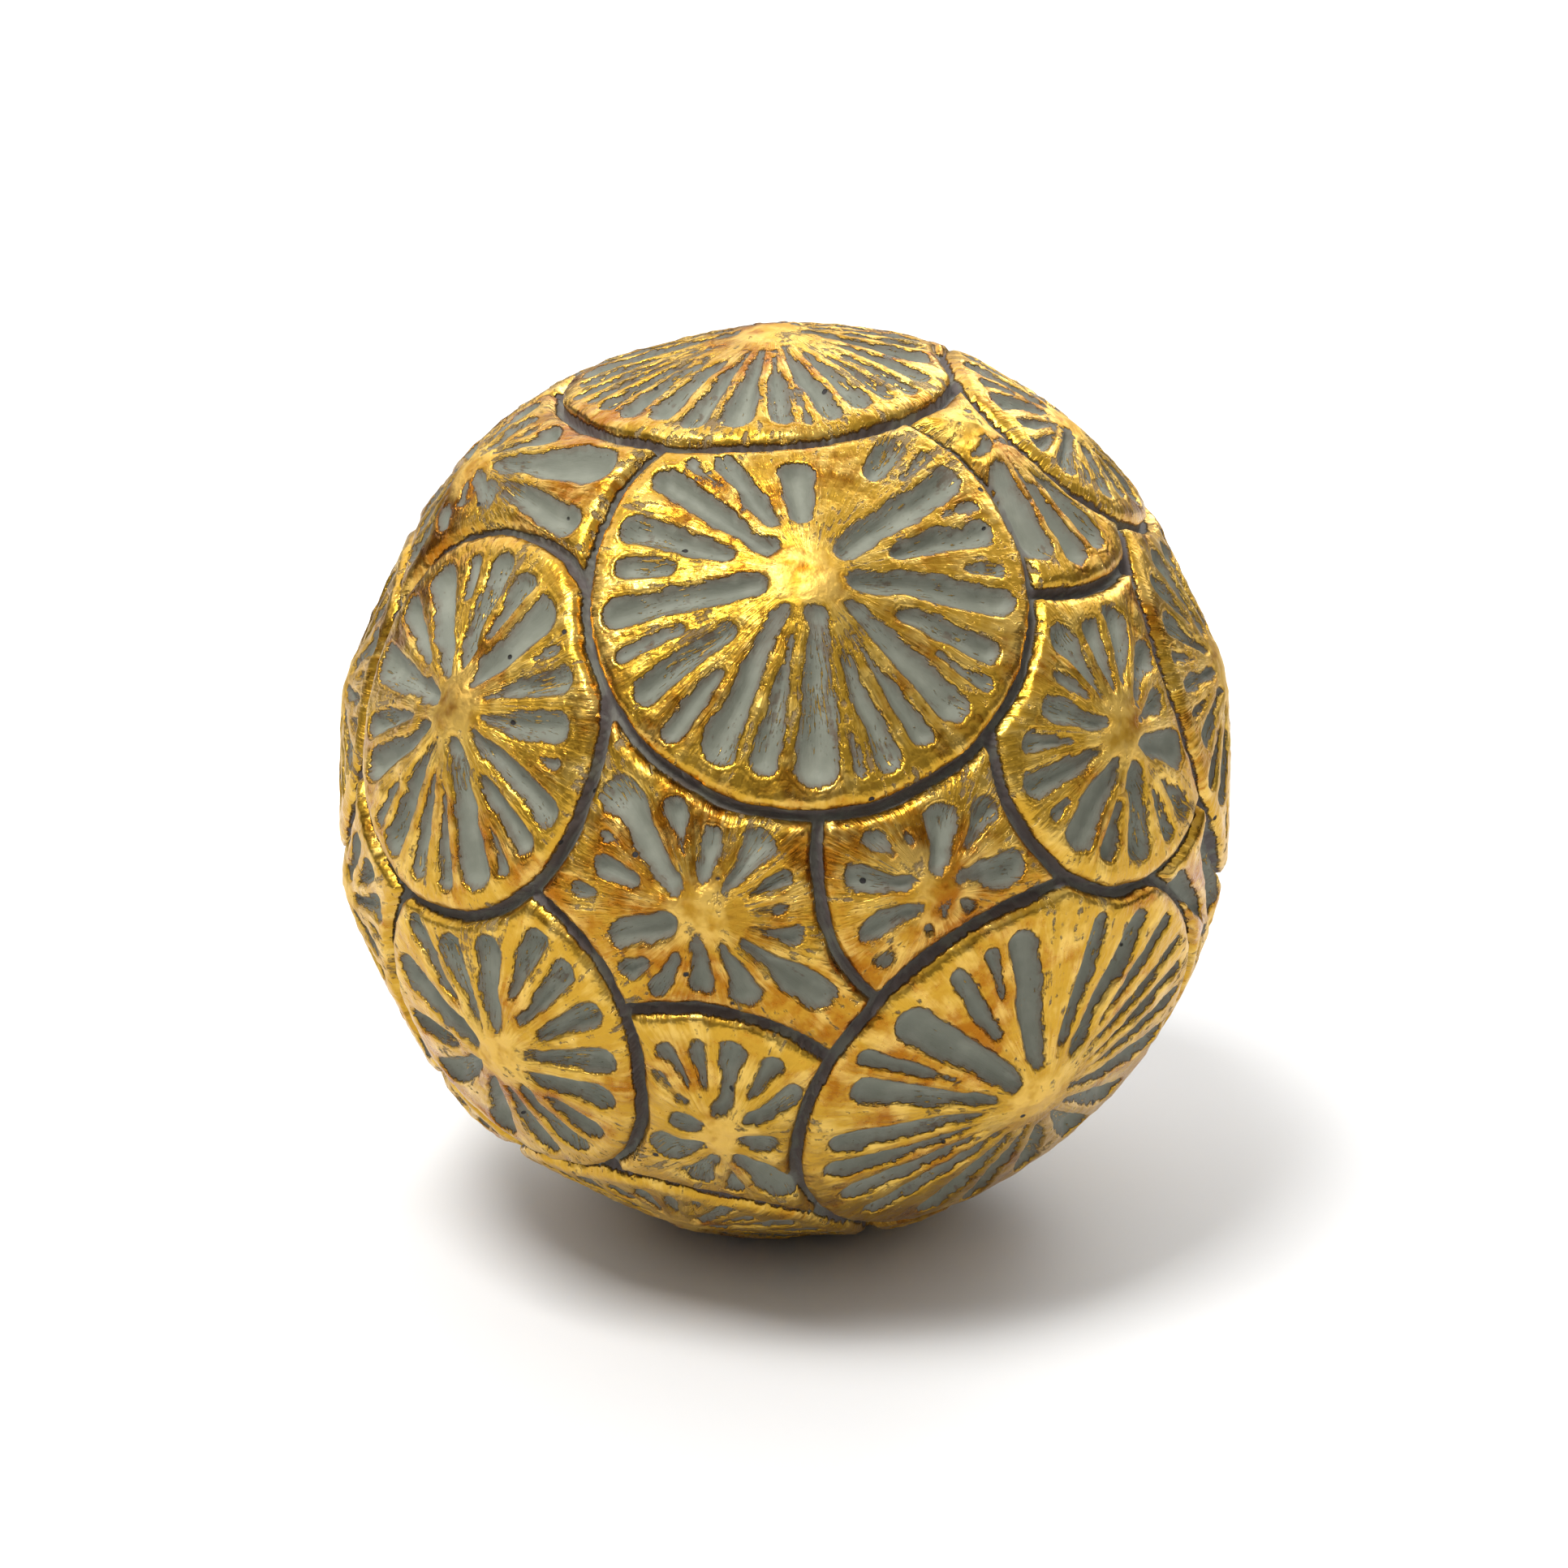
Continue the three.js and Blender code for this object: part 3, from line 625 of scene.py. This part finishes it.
class Finish:
    """Builds a procedural finish, one node at a time."""

    def __init__(self, name):
        self.material = bpy.data.materials.new(name)
        self.material.use_nodes = True
        self.tree = self.material.node_tree
        self.tree.nodes.clear()
        self.output = self.tree.nodes.new("ShaderNodeOutputMaterial")

    def plug(self, value, socket):
        """Links a socket to another, or sets its value."""
        if isinstance(value, bpy.types.NodeSocket):
            self.tree.links.new(value, socket)
        else:
            socket.default_value = value

    def node(self, kind, inputs=None, **settings):
        made = self.tree.nodes.new(kind)
        for name, value in settings.items():
            setattr(made, name, value)
        for name, value in (inputs or {}).items():
            self.plug(value, made.inputs[name])
        return made

    def field(self, name, output="Fac"):
        """What the mesh keeps at each vertex under a name."""
        return self.node("ShaderNodeAttribute", attribute_name=name).outputs[output]

    def maths(self, operation, *values):
        return self.node("ShaderNodeMath", dict(enumerate(values)), operation=operation).outputs[0]

    def vector(self, operation, *values, output="Vector"):
        made = self.node("ShaderNodeVectorMath", dict(enumerate(values)), operation=operation)
        return made.outputs[output]

    def times(self, *values):
        return self.maths("MULTIPLY", *values)

    def rest_of(self, share):
        """What a share leaves of 1."""
        return self.maths("SUBTRACT", 1.0, share)

    def weigh(self, total, *parts):
        """A first value, and each further value times its weight, added up."""
        for value, weight in parts:
            total = self.maths("MULTIPLY_ADD", value, weight, total)
        return total

    def step(self, value, low, high):
        """0 at low, 1 at high, and a soft step between."""
        inputs = {"Value": value, "From Min": low, "From Max": high}
        made = self.node("ShaderNodeMapRange", inputs, interpolation_type="SMOOTHSTEP")
        return made.outputs["Result"]

    def grain(self, vector, scale, detail, roughness=0.5):
        """Noise from 0 to 1."""
        inputs = {"Vector": vector, "Scale": scale, "Detail": detail, "Roughness": roughness}
        return self.node("ShaderNodeTexNoise", inputs).outputs["Fac"]

    def between(self, share, first, second):
        """The first value where the share is 0, and the second where it is 1."""
        return self.maths("MULTIPLY_ADD", share, self.maths("SUBTRACT", second, first), first)

    def blend(self, share, first, second):
        """The first colour where the share is 0, and the second where it is 1."""
        made = self.node("ShaderNodeMix", data_type="RGBA")
        sockets = [s for s in made.inputs if s.enabled and s.type in ("VALUE", "RGBA")]
        for name, value in (("Factor", share), ("A", first), ("B", second)):
            self.plug(value, next(s for s in sockets if s.name == name))
        return next(s for s in made.outputs if s.type == "RGBA")

    def surface(self, **inputs):
        """Ends the finish with a surface, and returns its material."""
        named = {name.replace("_", " ").title(): value for name, value in inputs.items()}
        made = self.node("ShaderNodeBsdfPrincipled", named)
        self.tree.links.new(made.outputs[0], self.output.inputs["Surface"])
        return self.material


def tone(colour):
    return (*colour, 1.0)


class GildedCast(Finish):
    """Gold leaf over matt grey-green paint, with a dark wash in the channels, and painted shade
    under the upper shells' walls, along the flute walls and in the pinholes.
    """

    def __init__(self, colours, sizes):
        super().__init__("gilded_cast")
        self.tones = {name: tone(getattr(colours, name)) for name in BallColours.__annotations__}
        self.half = sizes.channel_width / 2
        self.place = self.node("ShaderNodeTexCoord").outputs["Object"]
        self.gutter = self.field("gutter")
        self.side = self.field("side")
        self.groove = self.field("groove")
        self.wear = self.field("wear")

        self.patches = self.grain(self.place, PATCHES, 2.0)
        self.coarse = self.grain(self.place, COARSE, 3.0)
        self.middling = self.grain(self.place, MIDDLING, 3.0, 0.6)
        self.fine = self.grain(self.place, FINE, 2.0, 0.6)
        self.draw_streaks()

        height_at = self.node("ShaderNodeSeparateXYZ", {"Vector": self.place}).outputs["Z"]
        self.handled = self.step(height_at, *HANDLED)
        self.ragged = self.weigh(
            RAGGED_MIDDLE,
            (self.middling, 0.6),
            (self.fine, 0.2),
            (self.coarse, 1.1),
            (self.fine_streaks, 0.5),
        )
        near = self.maths("ADD", self.groove, self.ragged)
        self.near = self.weigh(near, (self.handled, -0.2))
        self.from_middle = self.weigh(self.gutter, (self.ragged, 0.35))

    def draw_streaks(self):
        """Streaks that run out from each boss: noise over the bearing and, slowly, the run."""
        chart = self.field("chart", "Vector")
        flat = self.vector("MULTIPLY", chart, (1.0, 1.0, 0.0))
        run = self.vector("LENGTH", flat, output="Value")
        bearing = self.vector("NORMALIZE", flat)
        spin = self.vector("MULTIPLY", bearing, (STREAK_TURN, STREAK_TURN, 0.0))
        along = self.times(run, STREAK_RUN)
        drawn = self.node("ShaderNodeCombineXYZ", {"Z": along}).outputs[0]
        shift = self.vector("MULTIPLY", chart, (0.0, 0.0, STREAK_SHIFT))
        at = self.vector("ADD", self.vector("ADD", spin, drawn), shift)
        self.on_boss = self.step(run, *BOSS_TOP)
        streaks = self.grain(at, STREAKS, 3.0, 0.6)
        self.streaks = self.between(self.on_boss, streaks, self.coarse)
        fine_streaks = self.grain(at, FINE_STREAKS, 2.0, 0.6)
        self.fine_streaks = self.between(self.on_boss, fine_streaks, self.middling)

    def lay_leaf(self):
        """Leaf lies on what stands up. It is rubbed thin in dry places, and flecks of it
        are left in the flutes."""
        low, high = CHANNEL_EDGE
        off_channel = self.step(self.from_middle, self.half + low, self.half + high)
        laid = self.times(self.step(self.near, *LEAF_EDGE), off_channel)
        thin = self.weigh(
            self.times(self.streaks, 0.6),
            (self.middling, 0.55),
            (self.wear, 0.035),
            (self.patches, 0.5),
            (self.handled, 0.015),
        )
        self.rubbed = self.step(thin, *RUBBED)
        laid = self.times(laid, self.rest_of(self.times(self.rubbed, 0.8)))
        dragged = self.weigh(
            self.times(self.fine_streaks, 0.8), (self.patches, 0.55), (self.fine, 0.25)
        )
        flecks = self.times(self.step(dragged, *DRAGGED), off_channel)
        self.laid = self.maths("MAXIMUM", laid, self.times(flecks, 0.8))

    def paint_ground(self):
        """The paint in the flutes, stained brown along the edge of the leaf, and darkened by
        painted shade along the flute walls.
        """
        tones = self.tones
        chalky = self.step(self.coarse, *CHALKY)
        ground = self.blend(chalky, tones["ground"], tones["ground_worn"])
        # Painted shade: the ground darkens towards the flute walls and stays lighter in the middle
        # of each flute
        wall_shade = self.step(self.weigh(self.groove, (self.ragged, 0.5)), *WALL_SHADE)
        ground = self.blend(self.times(wall_shade, 0.2), ground, tones["wash_thin"])
        beside = self.times(self.step(self.near, *STAIN_IN), self.step(self.groove, *STAIN_OUT))
        for share in (beside, self.rubbed):
            ground = self.blend(self.times(share, 0.6), ground, tones["stain"])
        return ground

    def wash_channels(self, ground):
        """The wash in the channels, with painted shade that makes it darkest under the wall of the
        upper shell.
        """
        tones = self.tones
        low, high = WASHED
        washed = self.step(self.from_middle, self.half + low, self.half + high)
        across = self.weigh(self.times(self.gutter, self.side), (self.ragged, 0.9))
        silted = self.blend(0.45, tones["wash"], ground)
        # Painted shade: the wash is full under the upper shell's steep wall and thinned over the
        # ground on the lower shell's side
        wash = self.blend(self.step(across, *SHADE_UNDER_LIP), silted, tones["wash"])
        gaps = self.times(self.step(self.coarse, *WASH_GAPS), 0.5)
        return self.blend(washed, ground, self.blend(gaps, wash, tones["ground"]))

    def open_pinholes(self, ground):
        """Pinholes left by air in the cast, painted nearly black for the shade inside them."""
        inputs = {"Vector": self.place, "Scale": PINHOLE_CELLS}
        cells = self.node("ShaderNodeTexVoronoi", inputs, feature="F1")
        pit = self.step(cells.outputs["Distance"], *PINHOLE_EDGE)
        chance = self.node("ShaderNodeSeparateColor", {"Color": cells.outputs["Color"]})
        chosen = self.maths("GREATER_THAN", chance.outputs[0], NO_PINHOLE)
        self.pit = self.times(pit, chosen)
        self.laid = self.times(self.laid, self.rest_of(self.pit))
        return self.blend(self.pit, ground, tone(PINHOLE_SHADE))

    def colour_leaf(self):
        """Gold, deeper where the leaf is thick and paler where it is burnished."""
        tones = self.tones
        depth = self.weigh(self.patches, (self.middling, 0.4), (self.wear, -0.14))
        leaf = self.blend(self.step(depth, *THICK_LEAF), tones["leaf_deep"], tones["leaf"])
        bright = self.weigh(
            self.times(self.streaks, 0.4), (self.coarse, 0.7), (self.on_boss, 0.12)
        )
        pale = self.times(self.step(bright, *BURNISHED), 0.6)
        return self.blend(pale, leaf, tones["leaf_pale"])

    def roughness(self):
        """Leaf shines, most of all where it is smooth, and the ground is matt."""
        leaf = self.weigh(0.05, (self.patches, 0.25), (self.middling, 0.3), (self.on_boss, 0.22))
        ground = self.weigh(0.62, (self.middling, 0.2))
        return self.between(self.laid, ground, leaf)

    def fine_relief(self):
        """Relief finer than the mesh, in millimetres."""
        burr = self.times(self.step(self.near, *BURR_IN), self.step(self.near, *BURR_OUT))
        crinkle = self.weigh(
            self.times(self.streaks, 0.14),
            (self.middling, 0.075),
            (self.fine, 0.007),
            (self.coarse, 0.4),
            (burr, 0.07),
        )
        height = self.weigh(
            self.times(crinkle, self.laid),
            (self.fine_streaks, 0.03),
            (self.fine, 0.02),
            (self.laid, 0.07),
            (self.pit, -PINHOLE_DEPTH),
        )
        inputs = {"Strength": 1.0, "Distance": MM, "Height": height}
        return self.node("ShaderNodeBump", inputs).outputs[0]

    def build(self):
        """Lays everything in order, and returns the material."""
        self.lay_leaf()
        ground = self.open_pinholes(self.wash_channels(self.paint_ground()))
        return self.surface(
            base_color=self.blend(self.laid, ground, self.colour_leaf()),
            metallic=self.laid,
            roughness=self.roughness(),
            normal=self.fine_relief(),
        )


# Studio

FLOOR_REACH = 40  # half the floor's side, over the ball's width
GLOW_SEEN = 0.8  # strength that the air gains where the camera sees it
GLOW_FELT = 0.13  # strength of the air all round
SENSOR = 36  # mm
LENS = 77.907  # mm
CAMERA_AIM = 0.0501  # height in metres
CAMERA_DISTANCE = 0.38  # metres
CAMERA_ELEVATION = 18  # degrees
CLIP_NEAR = 0.01  # metres
CLIP_FAR = 50  # metres


def soft_light(name, at, aim, width, depth, power):
    """A rectangular lamp at a place, facing another. Metres and watts."""
    data = bpy.data.lights.new(name, "AREA")
    data.shape = "RECTANGLE"
    data.size = width
    data.size_y = depth
    data.energy = power
    lamp = bpy.data.objects.new(name, data)
    bpy.context.scene.collection.objects.link(lamp)
    lamp.location = at
    lamp.rotation_euler = (Vector(aim) - Vector(at)).to_track_quat("-Z", "Y").to_euler()


def pale_floor(scene, half_side):
    """A square floor under the ball."""
    floor = bmesh.new()
    bmesh.ops.create_grid(floor, x_segments=1, y_segments=1, size=half_side)
    mesh = bpy.data.meshes.new("studio_floor")
    floor.to_mesh(mesh)
    floor.free()
    sheet = bpy.data.objects.new("studio_floor", mesh)
    scene.collection.objects.link(sheet)
    finish = Finish("studio_floor")
    mesh.materials.append(
        finish.surface(base_color=tone(scene.ball_colours.floor), roughness=0.9)
    )


def white_air(scene):
    """White air that glows more where the camera sees it than where it lights the ball."""
    world = bpy.data.worlds.new("studio_air")
    scene.world = world
    world.use_nodes = True
    nodes, links = world.node_tree.nodes, world.node_tree.links
    glow = nodes.new("ShaderNodeMath")
    glow.operation = "MULTIPLY_ADD"
    glow.inputs[1].default_value = GLOW_SEEN
    glow.inputs[2].default_value = GLOW_FELT
    links.new(nodes.new("ShaderNodeLightPath").outputs["Is Camera Ray"], glow.inputs[0])
    nodes["Background"].inputs["Color"].default_value = (1, 1, 1, 1)
    links.new(glow.outputs[0], nodes["Background"].inputs["Strength"])


def front_camera(scene):
    """A camera in front of the ball, looking a little down at its middle."""
    data = bpy.data.cameras.new("camera")
    data.sensor_width = SENSOR
    data.lens = LENS
    data.clip_start = CLIP_NEAR
    data.clip_end = CLIP_FAR
    camera = bpy.data.objects.new("camera", data)
    scene.collection.objects.link(camera)
    elevation = math.radians(CAMERA_ELEVATION)
    back = Vector((0, -math.cos(elevation), math.sin(elevation)))
    camera.location = Vector((0, 0, CAMERA_AIM)) + CAMERA_DISTANCE * back
    camera.rotation_euler = (math.pi / 2 - elevation, 0, 0)
    scene.camera = camera


class OBJECT_OT_shell_ball_studio(bpy.types.Operator):
    """Sets the pale floor, the soft lights and the camera"""

    bl_idname = "object.shell_ball_studio"
    bl_label = "Studio"

    def execute(self, context):
        scene = context.scene
        low, high = (Vector(corner) for corner in CAD_BOX)
        middle = (low + high) / 2
        pale_floor(scene, FLOOR_REACH * (high.x - low.x))
        soft_light("key_light", middle + Vector((-0.26, -0.3, 0.86)), middle, 0.34, 0.34, 9.5)
        soft_light("ceiling_light", (0, 0.01, 2.4), (0, 0, 0), 10, 10, 150)
        soft_light("rim_light", middle + Vector((0.35, 0.6, 0.55)), middle, 0.4, 0.4, 2.5)
        soft_light("floor_light", (0, 1.9, 1.2), (0, 1.9, 0), 5.0, 2.8, 62)
        white_air(scene)
        scene.view_settings.view_transform = "Standard"
        front_camera(scene)
        return {"FINISHED"}


class VIEW3D_PT_shell_ball(bpy.types.Panel):
    """Sizes and colours of the ball, and its operators"""

    bl_label = "Shell ball"
    bl_space_type = "VIEW_3D"
    bl_region_type = "UI"
    bl_category = "Shell ball"

    def draw(self, context):
        """Lists the properties and the operators."""
        for group in (context.scene.ball_sizes, context.scene.ball_colours):
            column = self.layout.column()
            for name in group.__annotations__:
                column.prop(group, name)
        self.layout.operator(OBJECT_OT_carved_ball.bl_idname)
        self.layout.operator(OBJECT_OT_shell_ball_studio.bl_idname)


CLASSES = (
    BallSizes,
    BallColours,
    OBJECT_OT_carved_ball,
    OBJECT_OT_shell_ball_studio,
    VIEW3D_PT_shell_ball,
)


def register():
    for kind in CLASSES:
        bpy.utils.register_class(kind)
    bpy.types.Scene.ball_sizes = bpy.props.PointerProperty(type=BallSizes)
    bpy.types.Scene.ball_colours = bpy.props.PointerProperty(type=BallColours)


def unregister():
    del bpy.types.Scene.ball_colours
    del bpy.types.Scene.ball_sizes
    for kind in reversed(CLASSES):
        bpy.utils.unregister_class(kind)


def main():
    register()
    bpy.ops.object.carved_ball()
    bpy.ops.object.shell_ball_studio()


if __name__ == "__main__":
    main()
